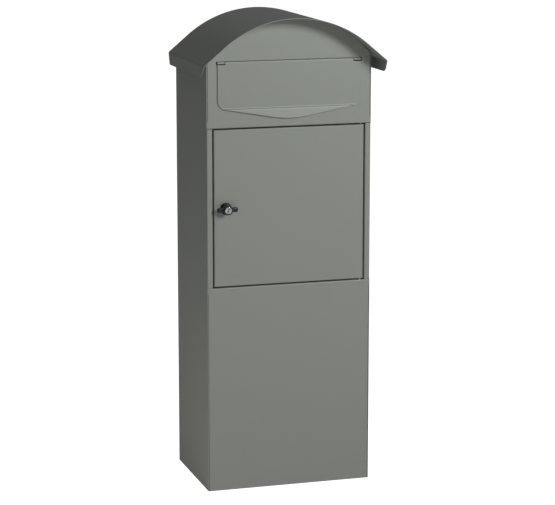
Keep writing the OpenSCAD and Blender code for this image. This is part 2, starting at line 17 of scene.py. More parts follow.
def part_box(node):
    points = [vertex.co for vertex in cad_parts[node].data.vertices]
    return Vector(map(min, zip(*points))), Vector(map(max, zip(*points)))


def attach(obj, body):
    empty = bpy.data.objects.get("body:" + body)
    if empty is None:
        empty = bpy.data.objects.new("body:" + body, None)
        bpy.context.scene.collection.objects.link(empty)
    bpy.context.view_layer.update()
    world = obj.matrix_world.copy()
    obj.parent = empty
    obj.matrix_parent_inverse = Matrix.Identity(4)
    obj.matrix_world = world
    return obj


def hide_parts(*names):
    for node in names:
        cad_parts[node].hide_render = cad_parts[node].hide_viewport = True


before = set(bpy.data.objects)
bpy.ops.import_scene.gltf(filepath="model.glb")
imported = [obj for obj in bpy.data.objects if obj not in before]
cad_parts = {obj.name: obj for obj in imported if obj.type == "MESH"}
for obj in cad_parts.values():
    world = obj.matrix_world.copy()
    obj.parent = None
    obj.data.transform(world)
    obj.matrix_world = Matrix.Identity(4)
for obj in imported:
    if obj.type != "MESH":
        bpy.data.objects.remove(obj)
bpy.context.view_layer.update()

MM = 0.001
EDGE_LAYER = "edge_zone"
LOG = logging.getLogger("letter_box")

BACKWARD = Vector((0, 1, 0))

Point = tuple[float, float, float]
Ring = list[tuple[float, float]]
Mesh = bmesh.types.BMesh
Node = bpy.types.Node
Socket = bpy.types.NodeSocket
Tree = bpy.types.NodeTree


class Slot(Enum):
    """The record's material slots."""

    COAT = "grey_powder_coat"
    ZINC = "zinc_plated_steel"
    NICKEL = "nickel_plated_steel"
    BLACK = "black_knob_coat"
    RUBBER = "black_rubber"


class Body(Enum):
    """The rigid bodies that pieces ride on."""

    CASE = "case"
    DOOR = "door"
    FLAP = "flap"
    KNOB = "knob"
    KEY_PLUG = "key_plug"


# ---------- shader graphs ----------


class Graph:
    """A short way to add and wire the nodes of one tree."""

    def __init__(self, tree: Tree) -> None:
        """Wraps a material's or a group's node tree."""
        self.tree = tree

    def add(self, kind: str, inputs: dict | None = None, **settings: object) -> Node:
        """Adds a node, sets its properties and fills or links its inputs.

        Args:
            kind: Blender's name for the node type.
            inputs: Socket name or number to a plain value or to an output socket.
            **settings: Properties of the node itself.

        Returns:
            The new node.
        """
        node = self.tree.nodes.new(kind)
        for name, value in settings.items():
            setattr(node, name, value)
        for name, value in (inputs or {}).items():
            self.feed(node.inputs[name], value)
        return node

    def feed(self, socket: Socket, value: object) -> None:
        """Gives an input socket a plain value or a link.

        Args:
            socket: The input socket.
            value: A plain value, or the output socket that is linked to it.
        """
        if isinstance(value, Socket):
            self.tree.links.new(value, socket)
        else:
            socket.default_value = value

    def where(self) -> Socket:
        """The surface point's place in the part's frame."""
        return self.add("ShaderNodeTexCoord").outputs["Object"]

    def noise(self, at: Socket, scale: object, detail: float = 2.0) -> Socket:
        """A noise value round 0.5 at some coordinates, with a frequency and octaves."""
        node = self.add("ShaderNodeTexNoise", {"Vector": at, "Scale": scale, "Detail": detail})
        return node.outputs["Fac"]

    def math(self, how: str, a: object, b: object = 0.5, clamp: bool = False) -> Socket:
        """One arithmetic step of two numbers or sockets, kept from 0 to 1 if clamped."""
        return self.add("ShaderNodeMath", {0: a, 1: b}, operation=how, use_clamp=clamp).outputs[0]

    def ramp(
        self, value: object, low: float, high: float, to_low: float = 0.0, to_high: float = 1.0
    ) -> Socket:
        """Changes a value from the range low to high into another range, and clamps it."""
        node = self.add(
            "ShaderNodeMapRange",
            {"Value": value, "From Min": low, "From Max": high, "To Min": to_low, "To Max": to_high},
        )
        return node.outputs["Result"]

    def blend(self, mask: object, under: object, over: object) -> Socket:
        """Lays the colour over upon the colour under where the mask is 1."""
        return self.add("ShaderNodeMix", {0: mask, 6: under, 7: over}, data_type="RGBA").outputs[2]


class Effects:
    """Shader groups that more than one finish uses. Each is built once."""

    def __init__(self) -> None:
        """Starts with no group built."""
        self.built: dict[str, Tree] = {}

    def place(self, graph: Graph, name: str, values: dict[str, object]) -> Node:
        """Puts a group into a material.

        Args:
            graph: The material's graph.
            name: The group's name, which is also the name of its method here.
            values: Values for the group's sockets.

        Returns:
            The group node.
        """
        if name not in self.built:
            self.built[name] = getattr(self, name)()
        return graph.add("ShaderNodeGroup", values, node_tree=self.built[name])

    def _shell(self, name: str, takes: dict[str, float], gives: Sequence[str]) -> tuple:
        """Makes an empty group with float sockets.

        Args:
            name: The group's name.
            takes: Input socket to its default.
            gives: Output sockets.

        Returns:
            The group's graph, the input node's outputs and the output node's inputs.
        """
        tree = bpy.data.node_groups.new(name, "ShaderNodeTree")
        for socket, value in takes.items():
            made = tree.interface.new_socket(name=socket, in_out="INPUT", socket_type="NodeSocketFloat")
            made.default_value = value
        for socket in gives:
            tree.interface.new_socket(name=socket, in_out="OUTPUT", socket_type="NodeSocketFloat")
        graph = Graph(tree)
        return graph, graph.add("NodeGroupInput").outputs, graph.add("NodeGroupOutput").inputs

    def powder_skin(self) -> Tree:
        """Sprayed powder: pebbled skin, fine grit and the slow waviness of thin sheet.

        Returns:
            The group, which gives a height and a value round 0.5 for cloudy colour.
        """
        g, given, out = self._shell(
            "powder_skin", {"Pebble Scale": 700.0, "Grit": 0.35, "Sheet Wave": 2.0}, ("Height", "Cloud")
        )
        at = g.where()
        pebbles = g.add(
            "ShaderNodeTexVoronoi", {"Vector": at, "Scale": given["Pebble Scale"], "Smoothness": 0.9},
            feature="SMOOTH_F1",
        ).outputs["Distance"]
        grit = g.math("MULTIPLY", g.noise(at, 2600.0, 1.0), given["Grit"])
        wave = g.math("MULTIPLY", g.noise(at, 5.5, 0.0), given["Sheet Wave"])
        skin = g.math("ADD", pebbles, grit)
        g.feed(out["Height"], g.math("ADD", skin, wave))
        cloud = g.math("MULTIPLY", g.math("ADD", g.noise(at, 9.0, 3.0), g.noise(at, 160.0, 2.0)), 0.5)
        g.feed(out["Cloud"], cloud)
        return g.tree

    def rubbed_edges(self) -> Tree:
        """Where handling has polished the folded and cut edges.

        Returns:
            The group, which gives a mask.
        """
        g, given, out = self._shell("rubbed_edges", {"Amount": 0.5, "Patch Scale": 45.0}, ("Mask",))
        at = g.where()
        zone = g.add("ShaderNodeAttribute", attribute_name=EDGE_LAYER).outputs["Fac"]
        patches = g.ramp(g.noise(at, given["Patch Scale"], 4.0), 0.42, 0.66)
        worn = g.math("MULTIPLY", zone, patches)
        g.feed(out["Mask"], g.math("MULTIPLY", worn, given["Amount"], True))
        return g.tree

    def settled_dust(self) -> Tree:
        """Dust that lies on upward faces, and splashes near the ground.

        Returns:
            The group, which gives a mask.
        """
        g, given, out = self._shell(
            "settled_dust", {"Top Dust": 0.3, "Splash": 0.2, "Splash Height": 0.16}, ("Mask",)
        )
        at = g.where()
        facing = g.add("ShaderNodeNewGeometry").outputs["Normal"]
        up = g.add("ShaderNodeSeparateXYZ", {"Vector": facing}).outputs["Z"]
        height = g.add("ShaderNodeSeparateXYZ", {"Vector": at}).outputs["Z"]
        speckle = g.ramp(g.noise(at, 60.0, 6.0), 0.35, 0.75)
        top = g.math("MULTIPLY", g.ramp(up, 0.55, 1.0), given["Top Dust"])
        low = g.math("SUBTRACT", 1.0, g.math("DIVIDE", height, given["Splash Height"]), True)
        splash = g.math("MULTIPLY", g.math("MULTIPLY", low, low), given["Splash"])
        g.feed(out["Mask"], g.math("MULTIPLY", g.math("ADD", top, splash), speckle, True))
        return g.tree

    def drawn_lines(self) -> Tree:
        """Fine parallel marks of rolling or turning.

        Returns:
            The group, which gives a height.
        """
        g, given, out = self._shell("drawn_lines", {"Across": 2500.0, "Along": 60.0}, ("Height",))
        at = g.where()
        along, across = given["Along"], given["Across"]
        stretch = g.add("ShaderNodeCombineXYZ", {0: along, 1: across, 2: across})
        scaled = g.add("ShaderNodeVectorMath", {0: at, 1: stretch.outputs[0]}, operation="MULTIPLY")
        g.feed(out["Height"], g.noise(scaled.outputs[0], 1.0, 3.0))
        return g.tree


EFFECTS = Effects()


# ---------- finishes ----------


@dataclass(frozen=True)
class Finish:
    """What every finish has: a name, a colour and a gloss."""

    name: str
    slot: Slot
    colour: Point
    roughness: float

    def material(self) -> bpy.types.Material:
        """The finish's material, built the first time it is asked for."""
        found = bpy.data.materials.get(self.name)
        if found:
            return found
        made = bpy.data.materials.new(self.name)
        made.use_nodes = True
        made.node_tree.nodes.clear()
        graph = Graph(made.node_tree)
        shader = graph.add("ShaderNodeBsdfPrincipled")
        output = graph.add("ShaderNodeOutputMaterial")
        made.node_tree.links.new(shader.outputs[0], output.inputs[0])
        shader.inputs["Roughness"].default_value = self.roughness
        self.dress(graph, shader)
        made.diffuse_color = (*self.colour, 1.0)
        return made

    def dress(self, graph: Graph, shader: Node) -> None:
        """Wires the finish's own detail to its Principled BSDF."""
        raise NotImplementedError

    def tone(self, factor: float) -> tuple[float, float, float, float]:
        """The finish's colour, lighter or darker."""
        return (*(min(1.0, c * factor) for c in self.colour), 1.0)

    def bump(self, graph: Graph, shader: Node, height: object, depth: float) -> None:
        """Turns a height into the surface's normal, with a relief of some depth in metres."""
        relief = graph.add("ShaderNodeBump", {"Height": height, "Strength": 1.0, "Distance": depth})
        graph.feed(shader.inputs["Normal"], relief.outputs[0])

    def gloss(self, graph: Graph, value: Socket, half: float, less: float, more: float) -> Socket:
        """The roughness, varied by a value that runs from 0.5 - half to 0.5 + half."""
        return graph.ramp(value, 0.5 - half, 0.5 + half, self.roughness - less, self.roughness + more)


@dataclass(frozen=True)
class PowderCoat(Finish):
    """Satin polyester powder coat on sheet steel."""

    dust: Point = (0.36, 0.34, 0.30)
    top_dust: float = 0.16
    splash: float = 0.20
    rub: float = 0.45
    clear: float = 0.04
    clear_roughness: float = 0.35
    sheen: float = 0.36
    pebbles: float = 650.0
    grit: float = 0.3
    sheet_wave: float = 7.0
    dust_matt: float = 1.5
    dust_hides: float = 6.0
    edge_polish: float = 0.12
    relief: float = 0.00009

    def dress(self, graph: Graph, shader: Node) -> None:
        """Clouded colour, dust, polished edges and a pebbled skin."""
        link = graph.tree.links.new
        skin = EFFECTS.place(
            graph, "powder_skin",
            {"Pebble Scale": self.pebbles, "Grit": self.grit, "Sheet Wave": self.sheet_wave},
        )
        rubbed = EFFECTS.place(graph, "rubbed_edges", {"Amount": self.rub}).outputs["Mask"]
        dusty = EFFECTS.place(
            graph, "settled_dust", {"Top Dust": self.top_dust, "Splash": self.splash}
        ).outputs["Mask"]
        cloud = skin.outputs["Cloud"]
        body = graph.blend(graph.ramp(cloud, 0.3, 0.7), self.tone(0.94), self.tone(1.06))
        worn = graph.blend(rubbed, body, self.tone(1.5))
        link(graph.blend(dusty, worn, (*self.dust, 1.0)), shader.inputs["Base Color"])
        gloss = self.gloss(graph, cloud, 0.2, 0.05, 0.06)
        matt = graph.math("ADD", gloss, graph.math("MULTIPLY", dusty, self.dust_matt))
        polish = graph.math("MULTIPLY", rubbed, self.edge_polish)
        link(graph.math("SUBTRACT", matt, polish, True), shader.inputs["Roughness"])
        hidden = graph.math("MULTIPLY", dusty, self.clear * self.dust_hides)
        link(graph.math("SUBTRACT", self.clear, hidden, True), shader.inputs["Coat Weight"])
        shader.inputs["Coat Roughness"].default_value = self.clear_roughness
        shader.inputs["Specular IOR Level"].default_value = self.sheen
        self.bump(graph, shader, skin.outputs["Height"], self.relief)


@dataclass(frozen=True)
class PlatedSteel(Finish):
    """Zinc or nickel plate over rolled or turned steel."""

    tint: Point = (0.62, 0.60, 0.52)
    line_depth: float = 0.00002
    across: float = 2600.0
    along: float = 40.0
    rub: float = 0.6

    def dress(self, graph: Graph, shader: Node) -> None:
        """Drawn lines, a faint passivation tint and handled edges."""
        link = graph.tree.links.new
        drawn = EFFECTS.place(graph, "drawn_lines", {"Across": self.across, "Along": self.along})
        lines = drawn.outputs["Height"]
        rubbed = EFFECTS.place(graph, "rubbed_edges", {"Amount": self.rub}).outputs["Mask"]
        bloom = graph.ramp(graph.noise(graph.where(), 55.0, 4.0), 0.35, 0.7, 0.0, 0.55)
        plated = graph.blend(bloom, self.tone(1.0), (*self.tint, 1.0))
        link(graph.blend(rubbed, plated, self.tone(1.2)), shader.inputs["Base Color"])
        link(self.gloss(graph, lines, 0.25, 0.08, 0.1), shader.inputs["Roughness"])
        shader.inputs["Metallic"].default_value = 1.0
        self.bump(graph, shader, lines, self.line_depth)


@dataclass(frozen=True)
class BlackEnamel(Finish):
    """Semi-gloss black lacquer on die-cast metal."""

    rub: float = 0.3
    polish: Point = (0.06, 0.06, 0.066)
    dust: Point = (0.16, 0.155, 0.14)
    gloss_coat: float = 0.25
    relief: float = 0.00003

    def dress(self, graph: Graph, shader: Node) -> None:
        """Slightly uneven lacquer, with grey polish where fingers turn it."""
        link = graph.tree.links.new
        skin = EFFECTS.place(
            graph, "powder_skin", {"Pebble Scale": 1500.0, "Grit": 0.5, "Sheet Wave": 0.0}
        )
        cloud = skin.outputs["Cloud"]
        touched = EFFECTS.place(graph, "rubbed_edges", {"Amount": self.rub, "Patch Scale": 220.0})
        dusty = EFFECTS.place(graph, "settled_dust", {"Top Dust": 0.08, "Splash": 0.0})
        base = graph.blend(cloud, self.tone(0.6), self.tone(1.4))
        worn = graph.blend(touched.outputs["Mask"], base, (*self.polish, 1.0))
        link(graph.blend(dusty.outputs["Mask"], worn, (*self.dust, 1.0)), shader.inputs["Base Color"])
        link(self.gloss(graph, cloud, 0.2, 0.06, 0.1), shader.inputs["Roughness"])
        shader.inputs["Coat Weight"].default_value = self.gloss_coat
        shader.inputs["Coat Roughness"].default_value = 0.2
        self.bump(graph, shader, skin.outputs["Height"], self.relief)


@dataclass(frozen=True)
class Rubber(Finish):
    """Matt moulded rubber."""

    def dress(self, graph: Graph, shader: Node) -> None:
        """A bloomed, faintly stippled surface."""
        link = graph.tree.links.new
        at = graph.where()
        stipple = graph.noise(at, 1800.0, 3.0)
        bloom = graph.ramp(graph.noise(at, 300.0, 3.0), 0.35, 0.7)
        link(graph.blend(bloom, self.tone(0.8), self.tone(1.7)), shader.inputs["Base Color"])
        link(self.gloss(graph, stipple, 0.2, 0.1, 0.08), shader.inputs["Roughness"])
        self.bump(graph, shader, stipple, 0.00005)


COAT = PowderCoat("grey_powder_coat", Slot.COAT, (0.187, 0.193, 0.181), 0.56)
# The same grey coat made darker for the parts inside the case: the darker colour is painted shade. The
# extra dust and lighter edge wear are real.
SHADED_INNER_COAT = PowderCoat(
    "grey_powder_coat_inside_painted_shade", Slot.COAT, (0.165, 0.171, 0.161), 0.62, top_dust=0.3, rub=0.2
)
ZINC = PlatedSteel("zinc_plated_steel", Slot.ZINC, (0.60, 0.61, 0.62), 0.38)
NICKEL = PlatedSteel(
    "nickel_plated_steel", Slot.NICKEL, (0.33, 0.33, 0.33), 0.30, along=2600.0, line_depth=0.00001
)
BLACK = BlackEnamel("black_knob_enamel", Slot.BLACK, (0.008, 0.008, 0.012), 0.32)
RUBBER = Rubber("black_rubber", Slot.RUBBER, (0.020, 0.020, 0.020), 0.75)


# ---------- mesh work ----------


@dataclass
class Piece:
    """A finished piece: its mesh, what it rides on and what it stands for."""

    name: str
    body: Body
    finish: Finish
    stands_for: tuple[str, ...] = ()

    def make(self, bm: Mesh, smooth_angle: float = 32.0) -> bpy.types.Object:
        """Turns a bmesh into the piece, and rides and dresses it.

        Args:
            bm: The geometry, in the part's frame. It is freed.
            smooth_angle: Edges sharper than this, in degrees, stay sharp.

        Returns:
            The new object.
        """
        bmesh.ops.recalc_face_normals(bm, faces=bm.faces)
        limit = math.radians(smooth_angle)
        for face in bm.faces:
            face.smooth = True
        for edge in bm.edges:
            edge.smooth = len(edge.link_faces) != 2 or edge.calc_face_angle(0.0) < limit
        made = Shapes.hang(bm, self.name)
        made.data.materials.append(self.finish.material())
        weighted = made.modifiers.new("even_normals", "WEIGHTED_NORMAL")
        weighted.keep_sharp = True
        if self.stands_for:
            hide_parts(*self.stands_for)
        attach(made, self.body.value)
        LOG.info("%s on %s: %d faces", self.name, self.body.value, len(made.data.polygons))
        return made


@dataclass(frozen=True)
class Row:
    """One line across a folded sheet: a profile point, its inward normal and its extent."""

    a: float
    b: float
    na: float
    nb: float
    low: float
    high: float


class Shapes:
    """Mesh builders that several sub-assemblies use."""

    @staticmethod
    def hang(bm: Mesh, name: str) -> bpy.types.Object:
        """Turns a mesh into an object of the scene.

        Args:
            bm: The mesh. It is freed.
            name: The object's name.

        Returns:
            The object.
        """
        mesh = bpy.data.meshes.new(name)
        bm.to_mesh(mesh)
        bm.free()
        made = bpy.data.objects.new(name, mesh)
        bpy.context.scene.collection.objects.link(made)
        return made

    @staticmethod
    def gather(parts: Iterable[Mesh]) -> Mesh:
        """Puts several solids into one mesh.

        Args:
            parts: The solids. They are freed.

        Returns:
            The mesh.
        """
        whole = bmesh.new()
        for part in parts:
            scrap = bpy.data.meshes.new("scrap")
            part.to_mesh(scrap)
            part.free()
            whole.from_mesh(scrap)
            bpy.data.meshes.remove(scrap)
        return whole

    @staticmethod
    def baked(holders: Sequence[bpy.types.Object]) -> Mesh:
        """Reads the first object with its modifiers applied, and removes all of them.

        Args:
            holders: The object and its helpers.

        Returns:
            The finished geometry.
        """
        done = bmesh.new()
        done.from_mesh(holders[0].evaluated_get(bpy.context.evaluated_depsgraph_get()).to_mesh())
        for holder in holders:
            mesh = holder.data
            bpy.data.objects.remove(holder)
            bpy.data.meshes.remove(mesh)
        return done

    @staticmethod
    def block(centre: Point, size: Point) -> Mesh:
        """Squared stock, to be rounded or to cut with.

        Args:
            centre: Its middle.
            size: Its three sizes.

        Returns:
            The solid.
        """
        bm = bmesh.new()
        made = bmesh.ops.create_cube(bm, size=1.0)
        placed = Matrix.Translation(centre) @ Matrix.Diagonal((*size, 1))
        bmesh.ops.transform(bm, matrix=placed, verts=made["verts"])
        return bm

    @staticmethod
    def mark_edges(bm: Mesh, faces: Iterable[bmesh.types.BMFace]) -> None:
        """Notes which faces belong to a worn edge.

        Args:
            bm: The mesh.
            faces: The faces of the edge.
        """
        layer = bm.faces.layers.float.get(EDGE_LAYER) or bm.faces.layers.float.new(EDGE_LAYER)
        for face in faces:
            face[layer] = 1.0

    @staticmethod
    def bevel(bm: Mesh, edges: list, width: float, segments: int, profile: float) -> None:
        """Rounds some edges and marks the new faces as worn.

        Args:
            bm: The mesh.
            edges: The edges.
            width: Width of the rounding in metres.
            segments: Steps across it.
            profile: Its fullness; 0.5 is a circle.
        """
        bm.faces.layers.float.new(EDGE_LAYER)
        made = bmesh.ops.bevel(
            bm, geom=edges, offset=width, offset_type="OFFSET", segments=segments, profile=profile,
            affect="EDGES", clamp_overlap=False, miter_outer="SHARP",
        )
        Shapes.mark_edges(bm, made["faces"])

    @staticmethod
    def round_edges(bm: Mesh, width: float) -> None:
        """Rounds the sharp edges.

        Args:
            bm: The mesh.
            width: Width of the rounding in metres.
        """
        limit = math.radians(35.0)
        sharp = [e for e in bm.edges if len(e.link_faces) == 2 and e.calc_face_angle(0.0) > limit]
        Shapes.bevel(bm, sharp, width, 2, 0.6)

    @staticmethod
    def from_node(node: str) -> Mesh:
        """A clean copy of a CAD node's mesh, with its flat faces whole again.

        Args:
            node: The CAD node.

        Returns:
            The copy.
        """
        bm = bmesh.new()
        bm.from_mesh(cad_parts[node].data)
        bmesh.ops.remove_doubles(bm, verts=bm.verts, dist=2e-6)
        bmesh.ops.dissolve_limit(bm, angle_limit=math.radians(0.1), verts=bm.verts, edges=bm.edges)
        return bm

    @staticmethod
    def lathe(profile: Ring, centre: Vector, axis: Vector = BACKWARD, steps: int = 72) -> Mesh:
        """Turns a closed profile round an axis.

        Args:
            profile: (distance along the axis, radius) pairs; radius 0 closes an end.
            centre: Where the axis starts.
            axis: Its direction.
            steps: Divisions round it.

        Returns:
            The solid.
        """
        bm = bmesh.new()
        side = axis.orthogonal().normalized()
        other = axis.cross(side).normalized()
        rings = []
        for along, radius in profile:
            if radius <= 0:
                rings.append([bm.verts.new(centre + axis * along)])
                continue
            rings.append([
                bm.verts.new(centre + axis * along + (side * math.cos(a) + other * math.sin(a)) * radius)
                for a in (math.tau * i / steps for i in range(steps))
            ])
        hollow = profile[0][1] > 0
        for one, two in zip(rings, rings[1:] + rings[:1] if hollow else rings[1:]):
            for i in range(steps):
                j = (i + 1) % steps
                corners = [one[i % len(one)], one[j % len(one)], two[j % len(two)], two[i % len(two)]]
                unique = list(dict.fromkeys(corners))
                if len(unique) > 2:
                    bm.faces.new(unique)
        return bm

    @staticmethod
    def round_corner(
        at: tuple[float, float], start: float, end: float, radius: float, steps: int = 5
    ) -> Ring:
        """Points of an arc in a profile, round a centre, from a start to an end angle in degrees."""
        angles = (math.radians(start + (end - start) * i / steps) for i in range(steps + 1))
        return [(at[0] + radius * math.cos(a), at[1] + radius * math.sin(a)) for a in angles]

    @staticmethod
    def folded_sheet(
        rows: Sequence["Row"],
        columns: Sequence[float],
        thickness: float,
        place: Callable[[float, float, float], Point],
        keep: Callable[[int, float], bool],
        edge: float,
    ) -> Mesh:
        """A sheet that follows a folded profile and has a free outline.

        Args:
            rows: The profile's points, each with its extent across the sheet.
            columns: Places across the sheet, 0 to 1 of each row's extent.
            thickness: The sheet's thickness.
            place: Turns (across, along a, along b) into a point.
            keep: Says whether the cell below a row, at a place across, is part of the sheet.
            edge: Width of the rounding round the outline.

        Returns:
            The closed sheet.
        """
        bm = bmesh.new()
        front, back = ([
            [
                bm.verts.new(place(r.low + (r.high - r.low) * u, r.a + r.na * lift, r.b + r.nb * lift))
                for u in columns
            ] for r in rows
        ] for lift in (0.0, thickness))
        cells = set()
        for i in range(len(rows) - 1):
            for j in range(len(columns) - 1):
                if keep(i, (columns[j] + columns[j + 1]) / 2):
                    cells.add((i, j))
                    bm.faces.new((front[i][j], front[i][j + 1], front[i + 1][j + 1], front[i + 1][j]))
                    bm.faces.new((back[i][j], back[i + 1][j], back[i + 1][j + 1], back[i][j + 1]))
        rim = set()
        for i, j in cells:
            for beyond, (ai, aj), (bi, bj) in (
                ((i - 1, j), (i, j), (i, j + 1)),
                ((i + 1, j), (i + 1, j + 1), (i + 1, j)),
                ((i, j - 1), (i + 1, j), (i, j)),
                ((i, j + 1), (i, j + 1), (i + 1, j + 1)),
            ):
                if beyond not in cells:
                    rim.add(bm.faces.new((front[ai][aj], back[ai][aj], back[bi][bj], front[bi][bj])))
        bmesh.ops.delete(bm, geom=[v for v in bm.verts if not v.link_faces], context="VERTS")
        bmesh.ops.recalc_face_normals(bm, faces=bm.faces)
        borders = [
            e for e in bm.edges if len(e.link_faces) == 2 and sum(f in rim for f in e.link_faces) == 1
        ]
        Shapes.bevel(bm, borders, edge, 3, 0.5)
        return bm

    @staticmethod
    def fuse(parts: Sequence[Mesh], voxel: float, relax: int) -> Mesh:
        """Melts overlapping solids into one cast body with softened joins.

        Args:
            parts: The solids. They are freed.
            voxel: Size of the remesh.
            relax: Rounds of smoothing.

        Returns:
            The fused body.
        """
        holder = Shapes.hang(Shapes.gather(parts), "cast")
        remesh = holder.modifiers.new("melt", "REMESH")
        remesh.mode = "VOXEL"
        remesh.voxel_size = voxel
        smooth = holder.modifiers.new("relax", "SMOOTH")
        smooth.iterations = relax
        smooth.factor = 0.5
        return Shapes.baked([holder])

    @staticmethod
    def carve(solid: Mesh, tools: Sequence[Mesh]) -> Mesh:
        """Cuts tools out of a solid.

        Args:
            solid: The solid. It is freed.
            tools: The cutting solids. They are freed.

        Returns:
            What is left.
        """
        holders = []
        for bm in (solid, *tools):
            bmesh.ops.recalc_face_normals(bm, faces=bm.faces)
            holders.append(Shapes.hang(bm, "carve"))
        for tool in holders[1:]:
            cut = holders[0].modifiers.new("cut", "BOOLEAN")
            cut.operation = "DIFFERENCE"
            cut.solver = "EXACT"
            cut.object = tool
        return Shapes.baked(holders)


def soften(node: str, suffix: str, body: Body, finish: Finish, edge: float) -> None:
    """Replaces a CAD node by its twin with rounded edges.

    Args:
        node: The CAD node.
        suffix: What the piece's name adds to the node's.
        body: What it rides on.
        finish: Its finish.
        edge: Width of the rounding.
    """
    bm = Shapes.from_node(node)
    Shapes.round_edges(bm, edge)
    Piece(f"{node}_{suffix}", body, finish, (node,)).make(bm)


# ---------- sub-assemblies ----------


@dataclass
class SheetWork:
    """The folded panels, rails and bows, with their cut edges rounded as real sheet has them."""

    edge: float = 0.35 * MM
    outer: tuple[str, ...] = (
        "left_side_panel", "right_side_panel", "back_panel", "lower_front_panel", "upper_fascia",
    )
    inner: tuple[str, ...] = ("base_plate", "compartment_floor")
    plated: tuple[str, ...] = (
        "left_floor_rail", "right_floor_rail", "letter_chute", "front_roof_bow", "rear_roof_bow",
    )

    def build(self) -> None:
        """Makes every sheet piece of the case."""
        for nodes, finish in ((self.outer, COAT), (self.inner, SHADED_INNER_COAT), (self.plated, ZINC)):
            for node in nodes:
                soften(node, "sheet", Body.CASE, finish, self.edge)


@dataclass
class Canopy:
    """The bent roof sheet: an arc that runs out into straight eaves and tapered skirts."""

    sheet: float = 1.5 * MM
    edge: float = 0.4 * MM
    arc_half: float = math.radians(39.5)
    skirt: float = 29 * MM
    flare: float = 2.4 * MM
    fold: float = 8 * MM
    tapers: tuple[float, float] = (20 * MM, 20 * MM)
    corners: tuple[float, float] = (30 * MM, 12 * MM)
    columns: int = 48
    skirt_steps: int = 26
    skirt_crowding: float = 1.7
    fold_steps: int = 12
    arc_steps: int = 72

    def section(self, low: Vector, high: Vector) -> list[tuple[float, float, float, float]]:
        """Right half of the roof's outside line, from the skirt's foot to the crown.

        Args:
            low: Lowest corner of the roof.
            high: Highest corner.

        Returns:
            (x, z, inward x, inward z) points.
        """
        x, eave = high.x - self.flare, low.z + self.skirt
        lean, cos = self.arc_half, math.cos(self.arc_half)
        radius = (x * math.tan(lean) - (high.z - eave)) / (1 / cos - 1)
        tilt = math.atan(self.flare / self.skirt)
        turn = math.pi / 2 - lean + tilt
        reach = self.fold * math.tan(turn / 2)
        along = Vector((math.sin(tilt), -math.cos(tilt)))
        inward = Vector((-math.cos(tilt), -math.sin(tilt)))
        start = Vector((x, eave)) + along * reach
        foot = (high.x - start.x) / along.x
        points = []
        for i in range(self.skirt_steps):
            at = start + along * foot * (1 - (i / self.skirt_steps) ** self.skirt_crowding)
            points.append((at.x, at.y, inward.x, inward.y))
        centre = start + inward * self.fold
        steps = self.fold_steps
        bends = [(centre, self.fold, turn * i / steps - tilt) for i in range(steps + 1)]
        middle = Vector((0.0, high.z - radius))
        for i in range(self.arc_steps + 1):
            bends.append((middle, radius, math.pi / 2 - lean * (1 - i / self.arc_steps)))
        for at, size, angle in bends:
            c, s = math.cos(angle), math.sin(angle)
            points.append((at.x + size * c, at.y + size * s, -c, -s))
        return points

    def extent(self, z: float, low: Vector, high: Vector) -> tuple[float, float]:
        """Front and rear end of the roof at a height.

        Args:
            z: The height.
            low: Lowest corner of the roof.
            high: Highest corner.

        Returns:
            The two y values.
        """
        eave = low.z + self.skirt
        ends = []
        for taper, corner in zip(self.tapers, self.corners):
            lean = math.atan2(taper, self.skirt)
            reach = corner * math.tan((math.pi / 2 - lean) / 2)
            rise = z - low.z
            if rise < reach * math.cos(lean):
                ends.append(taper + reach - math.sqrt(max(0.0, corner**2 - (corner - rise) ** 2)))
            else:
                ends.append(max(0.0, (eave - z) * taper / self.skirt))
        return low.y + ends[0], high.y - ends[1]

    def build(self) -> None:
        """Makes the roof sheet."""
        low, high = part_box("roof_canopy")
        half = self.section(low, high)
        line = half + [(-x, z, -nx, nz) for x, z, nx, nz in reversed(half[:-1])]
        rows = [Row(x, z, nx, nz, *self.extent(z, low, high)) for x, z, nx, nz in line]
        bm = Shapes.folded_sheet(
            rows, [i / self.columns for i in range(self.columns + 1)], self.sheet,
            lambda y, x, z: (x, y, z), lambda row, at: True, self.edge,
        )
        Piece("roof_canopy_sheet", Body.CASE, COAT, ("roof_canopy",)).make(bm, 40.0)


